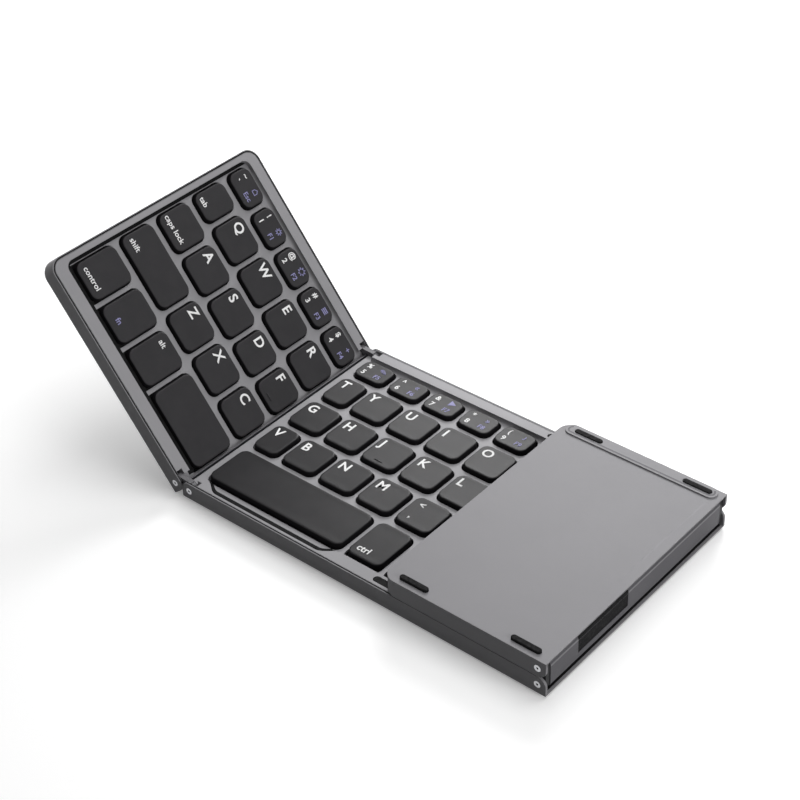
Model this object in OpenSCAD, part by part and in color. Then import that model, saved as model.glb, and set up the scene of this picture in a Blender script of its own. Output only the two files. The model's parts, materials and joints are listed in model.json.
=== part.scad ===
// Tri-fold pocket keyboard with a touchpad panel. Millimetres, +Z up.
// The centre panel lies on the desk. The left panel stands half folded on its double-pin hinge,
// and the right panel is folded flat onto the centre panel. Every panel is drawn lying flat in its
// own frame, with its hinge pin's axis at x = 0 and its underside at z = 0, and is then placed.
// The origin is on the desk, under the middle of the keyboard as it stands.

/* [Keys] */
// Width of a letter key's top
key_w = 14; // [12:0.1:14.4]
// Depth of a letter key's top
key_d = 13.7; // [12:0.1:16]
// Width of the narrow keys that start a staggered row on the centre panel
short_key_w = 10.4; // [8:0.1:10.8]
// Width of the two narrow keys beside the fold on the left panel's middle row
fold_key_w = 12.2; // [10:0.1:13]
// Width of a number key's top
number_key_w = 13.2; // [11:0.1:13.5]
// Depth of a number key's top
number_key_d = 9.2; // [8:0.1:12]
// Width of the three keys at the right end of the centre panel's second row from the back
bracket_key_w = 13; // [10:0.1:13.5]
// Width of the enter key
enter_key_w = 25; // [18:0.1:26]
// Width of the erase key, at the right end of the number row
erase_key_w = 15.6; // [13:0.1:16]
// Width of the left shift key
shift_key_w = 27.6; // [20:0.1:30]
// Depth of the bottom row's tops
bottom_key_d = 17.7; // [14:0.1:20]
// Width of the bottom row's modifier keys on the left panel
modifier_key_w = 13.6; // [11:0.1:14.4]
// Width of the space bar's half on the left panel
left_space_w = 28.9; // [20:0.1:30]
// Width of the space bar's half on the centre panel
centre_space_w = 58; // [50:0.1:60]
// Gap between the key tops of a row on the centre panel
key_gap = 3.1; // [2.4:0.05:3.4]
// Gap between the key tops of the centre panel's bottom row
bottom_gap = 3.4; // [2.4:0.05:3.6]
// Gap between the key tops of a row on the left panel
left_key_gap = 3.25; // [2.4:0.05:3.4]
// Gap between the key tops of two rows
row_gap = 3.8; // [3:0.1:6]
// How far the sides of a key stand out from its top at their foot
key_flare = 0.5; // [0.1:0.05:0.7]
// Corner radius of a key
key_corner_r = 2.6; // [1:0.1:4]
// Height of a key top below the rim
key_drop = 0.25; // [0.1:0.05:0.8]
// How far a key travels
key_travel = 1.2; // [0.6:0.05:1.3]
// Gap between a key and its hole
key_clear = 0.35; // [0.25:0.05:0.45]
// Length of the homing bars
homing_l = 3.2; // [2:0.1:5]
// Width of the homing bars
homing_w = 0.6; // [0.4:0.1:1]
// Height of the homing bars
homing_h = 0.15; // [0.1:0.05:0.2]
// Distance from a homing bar to the front of its key's top
homing_inset = 1.8; // [1:0.1:3]
// Diameter of the plunger under a key
plunger_d = 4; // [2:0.1:6]

/* [Panels] */
// Thickness of a panel, without its feet
panel_t = 6.5; // [6.3:0.1:9]
// Distance between the centre panel's two hinge axes
pin_span = 145.4; // [144:0.1:155]
// Left panel, from its hinge axis to its free edge
left_len = 84.8; // [84:0.1:88]
// Right panel, from its hinge axis to its free edge
right_len = 60.2; // [50:0.1:64]
// Radius of the free corners
corner_r = 5; // [3:0.1:8]
// Width of the front rim
front_rim = 5.7; // [5:0.1:9]
// Width of the back rim
back_rim = 5; // [4.6:0.1:9]
// Width of the rim at a free edge
outer_rim = 3; // [2:0.1:5]
// Depth of the sunken key deck below the rim
deck_drop = 1.9; // [1.2:0.1:2.2]
// Thickness of the deck's web
web_t = 0.8; // [0.5:0.1:1]
// Distance from a hinge axis to the nearest key top on the centre panel
hinge_margin = 1.7; // [1:0.1:3]
// Distance from the front rim to the bottom row's tops
front_margin = 2.3; // [1.2:0.1:5]
// Distance from the number row's tops to the back rim
back_margin = 1.8; // [1.2:0.1:5]
// Distance from the free edge's rim to the key tops
outer_margin = 2.4; // [1.2:0.1:5]
// Wall of a bottom shell
wall_t = 0.9; // [0.7:0.05:1]
// Floor of a bottom shell
floor_t = 1; // [0.8:0.05:1.2]
// Gap around a deck in its bottom shell
seam = 0.1; // [0.05:0.01:0.15]
// Width of the ledge that a deck rests on
ledge_w = 1.6; // [1:0.1:2.5]

/* [Thumb recess] */
// Width of the rim that is left in front of the recess
recess_lip = 1.8; // [1.5:0.1:3.5]
// Distance from the space bar's hinge end to the recess
recess_inset = 1.5; // [0:0.1:5]
// Length of each curved end of the recess
recess_curve = 7.8; // [3:0.1:12]
// Web that is left between the recess and the space bar's hole
recess_web = 0.9; // [0.3:0.1:1.1]

/* [Hinges] */
// Distance between the two pins of a hinge
pin_pitch = 6.6; // [6.4:0.05:6.9]
// Gap between two panels that are folded together
fold_gap = 0.3; // [0.2:0.05:0.6]
// Diameter of a hinge pin
pin_d = 2.4; // [1.6:0.1:2.8]
// Radial running clearance of a pin in a shell
pin_clear = 0.05; // [0.02:0.01:0.1]
// Diameter of the dimple in a pin's head
pin_dimple_d = 0.8; // [0.4:0.1:1.2]
// Thickness of a link
link_t = 2; // [1.5:0.1:2.5]
// Gap on each side of a link
link_clear = 0.15; // [0.1:0.05:0.3]
// Radius of a link around its pins
link_r = 2.4; // [2:0.05:2.5]
// Height of a link's bar above its pins
link_bar = 2.85; // [2.4:0.05:2.9]
// Outer radius of a spine cover around the pins
spine_r = 2.65; // [2.4:0.05:2.7]
// Wall of a spine cover
spine_t = 0.5; // [0.4:0.05:0.7]
// Distance of a spine cover's long edges below its hinge axes
spine_edge = 0.9; // [0.7:0.1:1.5]
// Gap between a spine cover and what it passes
spine_clear = 0.2; // [0.15:0.05:0.25]
// Thickness of the fin that stands in the gap between two decks
fin_w = 0.5; // [0.3:0.05:0.55]
// Height of that fin above the hinge axes
fin_h = 1.1; // [0.5:0.1:1.3]
// Height of the cable's way under that fin, above the hinge axes
cable_way = -0.2; // [-0.6:0.1:0.2]
// Start of the cable window, from the front of the panels
window_start = 17; // [10:0.5:40]
// Length of the cable window
window_len = 26; // [10:0.5:40]
// Height of the cable window
window_h = 6.2; // [3:0.1:6.4]
// How far the cable's way reaches past its window at each end
cable_overlap = 2; // [1:0.1:5]
// Thickness of the cable cover in the window
cable_cover_t = 0.3; // [0.2:0.05:0.4]

/* [Pose] */
// Angle of the left link above flat
left_link_deg = 3; // [0:1:90]
// Angle of the left panel against its link
left_panel_deg = 49; // [0:1:90]
// Angle of the right link above flat
right_link_deg = 90; // [0:1:90]
// Angle of the right panel against its link
right_panel_deg = 90; // [0:1:90]

/* [Feet and bumpers] */
// Length of a foot
foot_l = 11; // [6:0.1:16]
// Width of a foot
foot_w = 2; // [1.5:0.1:3]
// Height of a foot's sole under a panel
foot_h = 0.9; // [0.6:0.1:1.5]
// Depth of the socket that holds a foot
foot_seat = 0.3; // [0.2:0.05:0.35]
// Distance from a long edge to a foot's middle line
foot_inset = 3; // [2:0.1:5]
// Distance from a hinge axis to the nearest foot's middle
foot_hinge_inset = 6.3; // [6:0.1:12]
// Distance from a free edge to the nearest foot's middle
foot_free_inset = 11; // [8:0.1:16]
// Height of the ridge along the back of an underside
ridge_h = 0.5; // [0.2:0.05:0.55]
// Width of that ridge
ridge_w = 5.2; // [4:0.1:7]
// Distance from the ridge to the panel's back edge
ridge_inset = 0.4; // [0.2:0.1:1]
// Distance from the ridge to the panel's ends
ridge_end = 2; // [1:0.1:5]
// Length of a bumper on the centre panel's rims
bumper_l = 11.5; // [6:0.1:16]
// Width of a bumper
bumper_w = 2.6; // [1.5:0.1:3]
// Thickness of a bumper
bumper_t = 1; // [0.6:0.1:1.5]

/* [Inside] */
// Thickness of the plates under the keys
plate_t = 0.5; // [0.3:0.1:0.7]
// Thickness of the switch sheets
sheet_t = 0.75; // [0.5:0.05:0.8]
// Height of a switch pad above its sheet
pad_h = 0.15; // [0.1:0.05:0.2]
// Diameter of a switch pad
pad_d = 5; // [4:0.1:5.2]
// Thickness of the touch surface
touch_t = 1; // [0.6:0.1:1.2]
// Corner radius of the touch surface
touch_corner_r = 3; // [1:0.1:5]
// Width of the frame around the touch surface beside the hinge
touch_hinge_rim = 4.5; // [3.5:0.1:8]
// Depth of the touch surface below the rim
touch_drop = 0.3; // [0.2:0.05:0.5]
// Width of the step that carries the touch surface
touch_step = 1.2; // [0.8:0.1:2]
// Thickness of the circuit boards
board_t = 0.8; // [0.6:0.1:1]
// Width of the main circuit board
main_board_w = 20; // [12:1:40]
// Length of the main circuit board
main_board_l = 44; // [20:1:44]
// Gap around the battery, which fills the room beside the main circuit board
battery_gap = 1; // [0.5:0.1:3]
// Gap above the battery
battery_head = 0.2; // [0.1:0.1:1]
// Width of the charging socket
socket_w = 8.94; // [7.5:0.01:9]
// Height of the charging socket
socket_h = 3.2; // [2.5:0.05:3.3]
// Depth of the charging socket
socket_l = 7.3; // [5:0.1:10]
// Sheet thickness of the charging socket
socket_t = 0.3; // [0.2:0.05:0.4]
// Diameter of a magnet
magnet_d = 3; // [2:0.1:3.4]
// Thickness of a magnet
magnet_t = 1.6; // [1:0.1:2]

/* [Hidden] */
LETTERS = ["q", "w", "e", "r", "a", "s", "d", "f", "z", "x", "c",
           "t", "y", "u", "i", "o", "g", "h", "j", "k", "l", "v", "b", "n", "m"];

// Smallest overlap of a cutting tool past the face that it cuts
eps = 0.05;
$fn = 48;

// The bottom row is row 0 and the number row is row 4
row_depths = [bottom_key_d, key_d, key_d, key_d, number_key_d];
function row_y(n) = n == 0 ? front_rim + front_margin : row_y(n - 1) + row_depths[n - 1] + row_gap;
rows_back = row_y(4) + row_depths[4];
depth = rows_back + back_margin + back_rim;

end_r = (pin_pitch - fold_gap) / 2;
pin_z = panel_t - end_r;
// Middle of the standing keyboard, from the centre panel's left hinge axis
left_rise = left_link_deg + left_panel_deg;
left_end = -pin_pitch * cos(left_link_deg) - left_len * cos(left_rise) - pin_z * sin(left_rise);
middle_x = (min(left_end, -end_r) + pin_span + end_r) / 2;
web_top = panel_t - deck_drop;
web_z = web_top - web_t;
key_top = panel_t - key_drop;
key_foot_w = key_flare * 2;
// The deck stops short of the spine cover that passes it when the panels are folded
deck_end = spine_r - spine_t - spine_clear;
notch_r = end_r + link_clear;
link_y = wall_t + link_clear;
cover_y = link_y + link_t;
notch_back = cover_y + spine_clear;
// What is left of the floor under the hinge
lip_t = pin_z - spine_r - link_clear;
plate_z = floor_t;
sheet_z = plate_z + plate_t;
pad_top = sheet_z + sheet_t + pad_h;
plunger_z = pad_top + key_travel + eps;
// The foot of a key is inside the web
key_base_z = web_z + web_t / 4;
// Everything under a key's foot is lower than this
press_z = key_base_z - key_travel - seam;
bulkhead_x = notch_r + web_t;
deck_corner_r = max(corner_r - outer_rim, 0) + 1;
touch_z = panel_t - touch_drop - touch_t;
curve_steps = 10;
// Middles of the front and back rims, between the shell's wall and the key deck
rim_middles = [(wall_t + front_rim) / 2, depth - (wall_t + back_rim) / 2];

// A row is a list of [node, width]. Its keys are stretched alike until the row fills its room.
function total(row, k = 0) = k == len(row) ? 0 : row[k][1] + total(row, k + 1);
// The row's keys as [node, start, width], from the hinge outwards
function run(row, room, gap) =
    let (stretch = (room - (len(row) - 1) * gap) / total(row))
    [for (k = 0, x = 0; k < len(row); x = x + row[k][1] * stretch + gap, k = k + 1)
        [row[k][0], x, row[k][1] * stretch]];

// The order in each list is from the hinge outwards
left_rows = [
    [["left_space_key", left_space_w], for (k = [0:2]) ["left_modifier_keys", modifier_key_w]],
    [["key_c", key_w], ["key_x", key_w], ["key_z", key_w], ["left_modifier_keys", shift_key_w]],
    [["key_f", fold_key_w], ["key_d", fold_key_w], ["key_s", key_w], ["key_a", key_w],
     ["left_modifier_keys", key_w]],
    [["key_r", key_w], ["key_e", key_w], ["key_w", key_w], ["key_q", key_w],
     ["left_modifier_keys", short_key_w]],
    [for (k = [0:4]) ["left_number_keys", number_key_w]]];
// The order in each list is from the left hinge to the right hinge on the centre panel
centre_rows = [
    [["right_space_key", centre_space_w], for (k = [0:4]) ["centre_side_keys", number_key_w]],
    [["key_v", short_key_w], ["key_b", key_w], ["key_n", key_w], ["key_m", key_w],
     for (k = [0:1]) ["centre_side_keys", key_w], for (k = [0:2]) ["centre_side_keys", number_key_w]],
    [["key_g", key_w], ["key_h", key_w], ["key_j", key_w], ["key_k", key_w], ["key_l", key_w],
     for (k = [0:1]) ["centre_side_keys", key_w], ["centre_side_keys", enter_key_w]],
    [["key_t", short_key_w], ["key_y", key_w], ["key_u", key_w], ["key_i", key_w], ["key_o", key_w],
     ["centre_side_keys", key_w], for (k = [0:2]) ["centre_side_keys", bracket_key_w]],
    [for (k = [0:7]) ["centre_number_keys", number_key_w], ["centre_number_keys", erase_key_w]]];

// All keys of a panel as [node, left edge, width, row]
left_room = left_len - outer_rim - outer_margin;
left_keys = [for (n = [0:4]) for (k = run(left_rows[n], left_room, left_key_gap))
    [k[0], -k[1] - k[2], k[2], n]];
centre_room = pin_span - 2 * hinge_margin;
centre_keys = [for (n = [0:4]) for (k = run(centre_rows[n], centre_room, n == 0 ? bottom_gap : key_gap))
    [k[0], hinge_margin + k[1], k[2], n]];

steel = "silver";
bare = [0.75, 0.76, 0.78];
anodised = [0.55, 0.55, 0.56];
black = [0.07, 0.07, 0.08];
keycap = [0.24, 0.24, 0.25];
board_green = "darkgreen";

// Places a flat-lying centre panel, whose left hinge axis is at x = 0
module on_centre() { translate([-middle_x, -depth / 2, foot_h]) children(); }

// Places what is drawn in a link's own frame: x runs from the centre panel's pin to the other pin
module on_left_link() {
    on_centre() translate([0, 0, pin_z]) rotate([0, left_link_deg, 0]) mirror([1, 0, 0]) children();
}

module on_right_link() {
    on_centre() translate([pin_span, 0, pin_z]) rotate([0, -right_link_deg, 0]) children();
}

// Places a flat-lying left panel, which reaches from its hinge axis at x = 0 towards -x
module on_left_panel() {
    on_centre() translate([0, 0, pin_z]) rotate([0, left_link_deg, 0]) translate([-pin_pitch, 0, 0])
        rotate([0, left_panel_deg, 0]) translate([0, 0, -pin_z]) children();
}

// Places a flat-lying right panel, which reaches from its hinge axis at x = 0 towards +x
module on_right_panel() {
    on_centre() translate([pin_span, 0, pin_z]) rotate([0, -right_link_deg, 0])
        translate([pin_pitch, 0, 0]) rotate([0, -right_panel_deg, 0]) translate([0, 0, -pin_z]) children();
}

// A rounded rectangle between two corners
module rounded(x0, y0, x1, y1, r) {
    translate([x0 + r, y0]) square([x1 - x0 - 2 * r, y1 - y0]);
    translate([x0, y0 + r]) square([x1 - x0, y1 - y0 - 2 * r]);
    for (x = [x0 + r, x1 - r]) for (y = [y0 + r, y1 - r]) translate([x, y]) circle(r);
}

module slab(x0, y0, z0, x1, y1, z1) {
    translate([x0, y0, z0]) cube([x1 - x0, y1 - y0, z1 - z0]);
}

// A bar with round ends, along x, around the point [x, y]
module pill(x, y, l, w) {
    straight = l - w;
    translate([x - straight / 2, y - w / 2]) square([straight, w]);
    for (end = [x - straight / 2, x + straight / 2]) translate([end, y]) circle(w / 2);
}

// The plan of a panel that reaches from x = 0 to x = len, with square corners at its hinge
module end_plan(len, inset = 0) {
    r = corner_r - inset;
    translate([-end_r, inset]) square([len + end_r - corner_r, depth - 2 * inset]);
    translate([0, corner_r]) square([len - inset, depth - 2 * corner_r]);
    for (y = [corner_r, depth - corner_r]) translate([len - corner_r, y]) circle(r);
}

// What a panel may fill beside its hinge axis: the top corner is round about the axis
module hinge_end(len, reach = end_r) {
    rotate([90, 0, 0]) translate([0, 0, -depth]) linear_extrude(depth) {
        translate([0, -ridge_h - eps]) square([len + eps, panel_t + ridge_h + 2 * eps]);
        intersection() {
            translate([0, pin_z]) circle(end_r, $fn = 96);
            translate([-reach, pin_z]) square([reach + eps, end_r]);
        }
        translate([-reach, -ridge_h - eps]) square([reach + eps, pin_z + ridge_h + eps]);
    }
}

// A bore for the pins of one hinge axis, at x = 0 and height z
module pin_bore(z, r) {
    translate([0, -eps, z]) rotate([-90, 0, 0]) cylinder(depth + 2 * eps, r, r);
}

// The ridge along the back of an underside that reaches from x0 to x1
module back_ridge(x0, x1) {
    translate([0, 0, -ridge_h]) linear_extrude(ridge_h + eps)
        pill((x0 + x1) / 2, depth - ridge_inset - ridge_w / 2, x1 - x0 - 2 * ridge_end, ridge_w);
}

// Feet of a panel, at the places xs along it
module feet(xs, socket = false) {
    for (x = xs) for (y = [foot_inset, depth - foot_inset])
        translate([0, 0, -foot_h]) linear_extrude(foot_h + foot_seat) pill(x, y, foot_l, foot_w);
}

// A bottom shell that reaches from its hinge axis at x = 0 to x = len: floor, walls and ledges
module end_shell(len) {
    difference() {
        union() {
            intersection() {
                linear_extrude(panel_t) end_plan(len);
                hinge_end(len);
            }
            back_ridge(-end_r, len);
        }
        // The tray's inside, above the ledge and below it
        translate([0, 0, web_z]) linear_extrude(panel_t) intersection() {
            end_plan(len, wall_t);
            translate([-len, 0]) square([3 * len, depth]);
        }
        translate([0, 0, floor_t]) linear_extrude(panel_t) intersection() {
            end_plan(len, wall_t + ledge_w);
            translate([bulkhead_x, 0]) square([len, depth]);
        }
        slab(0, wall_t + ledge_w, press_z, bulkhead_x + eps, depth - wall_t - ledge_w, panel_t);
        // The hinge's pocket, over the thin lip of the floor
        slab(-end_r - eps, wall_t, lip_t, notch_r, depth - wall_t, panel_t + eps);
        pin_bore(pin_z, pin_d / 2 + pin_clear);
        feet(foot_places(len));
    }
}

function foot_places(len) = [foot_hinge_inset, len - foot_free_inset];

// The deck of an end panel: a rim around three sides and, at the hinge, the web alone
module end_deck(len) {
    inset = wall_t + seam;
    intersection() {
        translate([0, 0, web_z]) linear_extrude(panel_t - web_z) end_plan(len, inset);
        union() {
            hinge_end(len, deck_end);
            slab(-end_r, inset, 0, 0, link_y, panel_t);
        }
    }
}

// What a deck leaves free beside its hinge: the links' notches, and the fin's way over the web
module hinge_room() {
    for (y = [0, depth - notch_back]) slab(-end_r - eps, y, 0, notch_r, y + notch_back, panel_t + eps);
    slab(-end_r - eps, 0, web_top, fin_h + spine_clear, depth, panel_t + eps);
}

// The hole of a key in the deck's web. It runs on to a rim that is next to it.
module key_hole(k, x_low, x_high) {
    grow = key_flare + key_clear;
    y = row_y(k[3]);
    x0 = k[1] - grow;
    x1 = k[1] + k[2] + grow;
    y0 = k[0] == "right_space_key" ? front_rim + recess_web : k[3] == 0 ? front_rim : y - grow;
    translate([0, 0, web_z - eps]) linear_extrude(panel_t)
        rounded(x0 < x_low ? x_low : x0, y0, x1 > x_high ? x_high : x1, y + row_depths[k[3]] + grow,
            key_corner_r + grow / 2);
}

// A key: sides that lean in towards the top, and a plunger over its switch
module keycap(k) {
    y = row_y(k[3]);
    w = k[2];
    d = row_depths[k[3]];
    h = key_top - key_base_z;
    color(keycap) translate([k[1], y, key_base_z]) {
        intersection() {
            linear_extrude(h)
                rounded(-key_flare, -key_flare, w + key_flare, d + key_flare, key_corner_r + key_flare);
            translate([0, d + key_flare, 0]) rotate([90, 0, 0]) linear_extrude(d + key_foot_w)
                polygon([[-key_flare, 0], [w + key_flare, 0], [w, h], [0, h]]);
            translate([-key_flare, 0, 0]) rotate([90, 0, 90]) linear_extrude(w + key_foot_w)
                polygon([[-key_flare, 0], [d + key_flare, 0], [d, h], [0, h]]);
        }
        translate([w / 2, d / 2, plunger_z - key_base_z])
            cylinder(key_base_z - plunger_z + eps, plunger_d / 2, plunger_d / 2);
    }
}

// The small bar near the front edge of a homing key
module homing_bar(k) {
    color(keycap) translate([0, 0, key_top - eps]) linear_extrude(homing_h + eps)
        pill(k[1] + k[2] / 2, row_y(k[3]) + homing_inset, homing_l, homing_w);
}

module keys_named(name) {
    for (k = left_keys) if (k[0] == name) on_left_panel() {
        keycap(k);
        if (name == "key_f") homing_bar(k);
    }
    for (k = centre_keys) if (k[0] == name) on_centre() {
        keycap(k);
        if (name == "key_j") homing_bar(k);
    }
}

// A flat sheet between a shell's walls, with the corners of the tray that holds it
module inner_sheet(x0, x1, z, t) {
    side = wall_t + ledge_w + seam;
    translate([0, 0, z]) linear_extrude(t) rounded(x0, side, x1, depth - side, corner_r - wall_t - ledge_w);
}

// A switch sheet with a pad under each key
module switch_sheet(x0, x1, keys) {
    color([0.85, 0.87, 0.8]) {
        inner_sheet(x0, x1, sheet_z, sheet_t);
        for (k = keys) translate([k[1] + k[2] / 2, row_y(k[3]) + row_depths[k[3]] / 2, sheet_z])
            cylinder(sheet_t + pad_h, pad_d / 2, pad_d / 2);
    }
}

module support_plate(x0, x1) { color(bare) inner_sheet(x0, x1, plate_z, plate_t); }

// Magnets in the rim's two free corners
module magnet_places(len) {
    for (y = rim_middles) translate([len - corner_r, y, web_z]) children();
}

module magnets(len) {
    color(steel) magnet_places(len) cylinder(magnet_t, magnet_d / 2, magnet_d / 2);
}

module magnet_pockets(len) {
    magnet_places(len) translate([0, 0, -eps]) cylinder(magnet_t + eps, magnet_d / 2, magnet_d / 2);
}

// ---- centre panel ----

centre_feet = [foot_hinge_inset, pin_span - foot_hinge_inset];

module centre_bottom_shell() {
    color(anodised) on_centre() difference() {
        union() {
            intersection() {
                slab(-end_r, 0, 0, pin_span + end_r, depth, panel_t);
                hinge_end(pin_span + end_r);
                translate([pin_span, 0, 0]) mirror([1, 0, 0]) hinge_end(pin_span + end_r);
            }
            back_ridge(-end_r, pin_span + end_r);
        }
        slab(-end_r - eps, wall_t, web_z, pin_span + end_r + eps, depth - wall_t, panel_t + eps);
        slab(bulkhead_x, wall_t + ledge_w, floor_t, pin_span - bulkhead_x, depth - wall_t - ledge_w, panel_t);
        slab(0, wall_t + ledge_w, press_z, pin_span, depth - wall_t - ledge_w, panel_t);
        for (side = [0, 1]) translate([side * pin_span, 0, 0]) mirror([side, 0, 0]) {
            slab(-end_r - eps, wall_t, lip_t, notch_r, depth - wall_t, panel_t + eps);
            pin_bore(pin_z, pin_d / 2 + pin_clear);
        }
        feet(centre_feet);
    }
}

// Where the free edges of the two folded panels meet
fold_line_x = (left_len + pin_span - right_len) / 2;

module bumper_bars(h) {
    for (y = rim_middles) translate([0, 0, panel_t - bumper_t]) linear_extrude(h)
        pill(fold_line_x, y, bumper_l, bumper_w);
}

module fold_bumpers() { color(black) on_centre() bumper_bars(bumper_t); }

// The thumb recess in front of the space bar
module thumb_recess() {
    space = centre_keys[0];
    x0 = space[1] + recess_inset;
    x1 = space[1] + space[2] + bottom_gap;
    // How far the recess has cut into the rim, at steps along a curved end
    cut = [for (k = [0:curve_steps]) front_rim + eps
        - (front_rim + eps - recess_lip) * (1 - cos(180 * k / curve_steps)) / 2];
    translate([0, 0, web_top]) linear_extrude(panel_t) polygon(concat(
        [for (k = [0:curve_steps]) [x0 + recess_curve * k / curve_steps, cut[k]]],
        [for (k = [curve_steps:-1:0]) [x1 - recess_curve * k / curve_steps, cut[k]]]));
}

module centre_key_deck() {
    inset = wall_t + seam;
    color(anodised) on_centre() difference() {
        intersection() {
            slab(-end_r, inset, web_z, pin_span + end_r, depth - inset, panel_t);
            hinge_end(pin_span + end_r, deck_end);
            translate([pin_span, 0, 0]) mirror([1, 0, 0]) hinge_end(pin_span + end_r, deck_end);
        }
        slab(-end_r, front_rim, web_top, pin_span + end_r, depth - back_rim, panel_t + eps);
        for (k = centre_keys) key_hole(k, -deck_end, pin_span + deck_end);
        for (side = [0, 1]) translate([side * pin_span, 0, 0]) mirror([side, 0, 0]) hinge_room();
        thumb_recess();
        bumper_bars(bumper_t + eps);
    }
}

module centre_support_plate() { on_centre() support_plate(bulkhead_x + seam, pin_span - bulkhead_x - seam); }

module centre_switch_sheet() {
    on_centre() switch_sheet(bulkhead_x + seam, pin_span - bulkhead_x - seam, centre_keys);
}

module centre_rubber_feet() { color(black) on_centre() feet(centre_feet); }

// ---- left panel ----
// The left panel is the mirror image of a panel that reaches towards +x, but for its keys

module as_left() { on_left_panel() mirror([1, 0, 0]) children(); }

module left_bottom_shell() { color(anodised) as_left() end_shell(left_len); }

module left_key_deck() {
    color(anodised) on_left_panel() difference() {
        mirror([1, 0, 0]) difference() {
            end_deck(left_len);
            translate([0, 0, web_top]) linear_extrude(panel_t)
                rounded(-2 * end_r, front_rim, left_len - outer_rim, depth - back_rim, deck_corner_r);
            hinge_room();
            magnet_pockets(left_len);
        }
        for (k = left_keys) key_hole(k, outer_rim - left_len, deck_end);
    }
}

module left_support_plate() {
    as_left() support_plate(bulkhead_x + seam, left_len - wall_t - ledge_w - seam);
}

module left_switch_sheet() {
    on_left_panel() switch_sheet(wall_t + ledge_w + seam - left_len, -bulkhead_x - seam, left_keys);
}

module left_rubber_feet() { color(black) as_left() feet(foot_places(left_len)); }

module left_magnets() { as_left() magnets(left_len); }

// ---- right panel ----

socket_x = right_len / 2;
touch_box = [touch_hinge_rim, front_rim + 2, right_len - outer_rim - 1.5, depth - back_rim - 2];

module right_bottom_shell() {
    color(anodised) on_right_panel() difference() {
        end_shell(right_len);
        // Mouth of the charging socket, in the back wall
        socket_body(0, depth - wall_t - ledge_w - eps, depth + eps, seam);
    }
}

module touchpad_frame() {
    b = touch_box;
    color(anodised) on_right_panel() difference() {
        end_deck(right_len);
        translate([0, 0, touch_z]) linear_extrude(panel_t) rounded(b[0], b[1], b[2], b[3], touch_corner_r);
        translate([0, 0, web_z - eps]) linear_extrude(panel_t)
            rounded(b[0] + touch_step, b[1] + touch_step, b[2] - touch_step, b[3] - touch_step, 1);
        hinge_room();
        magnet_pockets(right_len);
        socket_body(0, depth - wall_t - ledge_w - socket_l, depth, seam);
    }
}

module touchpad_surface() {
    b = touch_box;
    color([0.16, 0.16, 0.17]) on_right_panel() translate([0, 0, touch_z]) linear_extrude(touch_t)
        rounded(b[0] + seam, b[1] + seam, b[2] - seam, b[3] - seam, touch_corner_r - seam);
}

module touchpad_board() {
    b = touch_box;
    t = touch_step + seam;
    color(board_green) on_right_panel() translate([0, 0, touch_z - board_t]) linear_extrude(board_t)
        rounded(b[0] + t, b[1] + t, b[2] - t, b[3] - t, 1);
}

// The charging socket's plan is a rounded bar; cutters grow it all round
module socket_body(inset, y0, y1, grow = 0) {
    h = socket_h + 2 * (grow - inset);
    w = socket_w + 2 * (grow - inset);
    translate([socket_x, y1, floor_t + board_t + socket_h / 2]) rotate([90, 0, 0]) linear_extrude(y1 - y0)
        pill(0, 0, w, h);
}

module charging_socket() {
    y1 = depth - wall_t;
    color(steel) on_right_panel() difference() {
        socket_body(0, y1 - socket_l, y1);
        socket_body(socket_t, y1 - socket_l + 1, y1 + eps);
    }
}

board_back = depth - wall_t - ledge_w - seam;

module main_circuit_board() {
    x = socket_x - main_board_w / 2;
    color(board_green) on_right_panel()
        slab(x, board_back - main_board_l, floor_t, x + main_board_w, board_back, floor_t + board_t);
}

module battery_cell() {
    side = wall_t + ledge_w + battery_gap;
    back = board_back - main_board_l - battery_gap;
    color(bare) on_right_panel() translate([0, 0, floor_t]) linear_extrude(web_z - battery_head - floor_t)
        rounded(bulkhead_x + battery_gap, side, right_len - side, back, 1.5);
}

module right_rubber_feet() { color(black) on_right_panel() feet(foot_places(right_len)); }

module right_magnets() { on_right_panel() magnets(right_len); }

// ---- hinges: drawn in a link's frame, with its pins at x = 0 and x = pin_pitch ----

// A profile in the link's frame, drawn from y0 to y1. Its outer side is towards -z.
module along(y0, y1) { translate([0, y1, 0]) rotate([90, 0, 0]) linear_extrude(y1 - y0) children(); }

// Both ends of a hinge
module at_both_ends() {
    children();
    translate([0, depth, 0]) mirror([0, 1, 0]) children();
}

module stadium(r) {
    translate([0, -r]) square([pin_pitch, 2 * r]);
    for (x = [0, pin_pitch]) translate([x, 0]) circle(r, $fn = 96);
}

// Room inside the spine cover, from its hinge axes to its outer wall
cable_room = spine_r - spine_t;
cable_start = window_start - cable_overlap;
cable_end = window_start + window_len + cable_overlap;

module hinge_links() {
    color(steel) at_both_ends() difference() {
        along(link_y, cover_y) {
            stadium(link_r);
            square([pin_pitch, link_bar]);
        }
        for (x = [0, pin_pitch]) translate([x, 0, 0]) pin_bore(0, pin_d / 2 + pin_clear / 5);
    }
}

module hinge_pins() {
    color(steel) at_both_ends() for (x = [0, pin_pitch]) translate([x, 0, 0]) difference() {
        along(0, cover_y) circle(pin_d / 2, $fn = 96);
        along(-eps, pin_dimple_d / 2) circle(pin_dimple_d / 2, $fn = 24);
    }
}

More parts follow.
